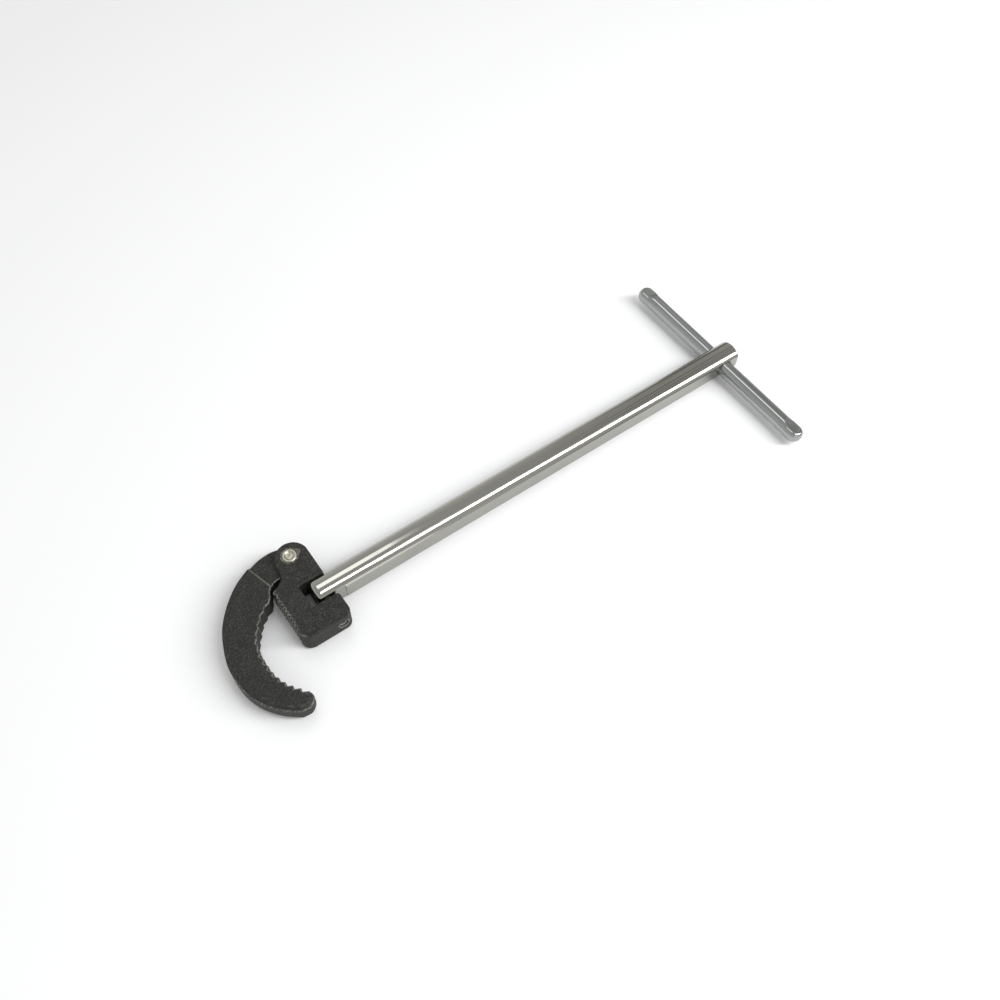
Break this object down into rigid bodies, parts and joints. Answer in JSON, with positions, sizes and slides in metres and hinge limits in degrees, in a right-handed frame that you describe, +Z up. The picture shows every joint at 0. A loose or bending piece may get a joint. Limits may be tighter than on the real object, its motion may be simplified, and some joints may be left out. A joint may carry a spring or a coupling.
{
  "type": "adjustable basin wrench",
  "caption": "Long-reach plumber's wrench: a sprung toothed hook jaw on a forked heel that tilts on the tip of a flat-sided round shaft, with a sliding cross handle.",
  "frame": {"origin": "bottom centre of the bounding box, with the wrench lying flat", "axes": "+X along the shaft from the head to the handle, +Y towards the knuckle side of the head, +Z up through the broad faces of the head"},
  "size_m": [0.2798, 0.115, 0.0134],
  "materials": {
    "shaft": "polished chrome plate",
    "tommy_bar": "polished chrome plate",
    "heel_jaw": "black oxide over a drop forging, edges rubbed lighter",
    "hook_jaw": "black oxide over a drop forging, edges rubbed lighter",
    "jaw_rivet": "nickel plate, a little warm",
    "jaw_spring": "drawn spring wire",
    "head_pivot_pin": "rolled spring steel"
  },
  "bodies": {
    "shaft": {"shaft": "shaft"},
    "head": {"heel_jaw": "heel_jaw", "jaw_rivet": "jaw_rivet", "jaw_spring": "jaw_spring", "head_pivot_pin": "head_pivot_pin"},
    "jaw": {"hook_jaw": "hook_jaw"},
    "bar": {"tommy_bar": "tommy_bar"}
  },
  "joints": [
    {"name": "head_tilt", "type": "hinge", "parent": "shaft", "child": "head", "pos_m": [-0.09215, 0, 0.0067], "axis": [0, 1, 0], "range_deg": [-90, 90]},
    {"name": "jaw_open", "type": "hinge", "parent": "head", "child": "jaw", "pos_m": [-0.09575, 0.0198, 0.0067], "axis": [0, 0, -1], "range_deg": [0, 60], "stiffness_Nm_per_rad": 0.05, "springref_deg": -57.3, "deforming": ["jaw_spring"]},
    {"name": "bar_slide", "type": "slide", "parent": "shaft", "child": "bar", "axis": [0, 1, 0], "range_m": [-0.04, 0.04]}
  ]
}
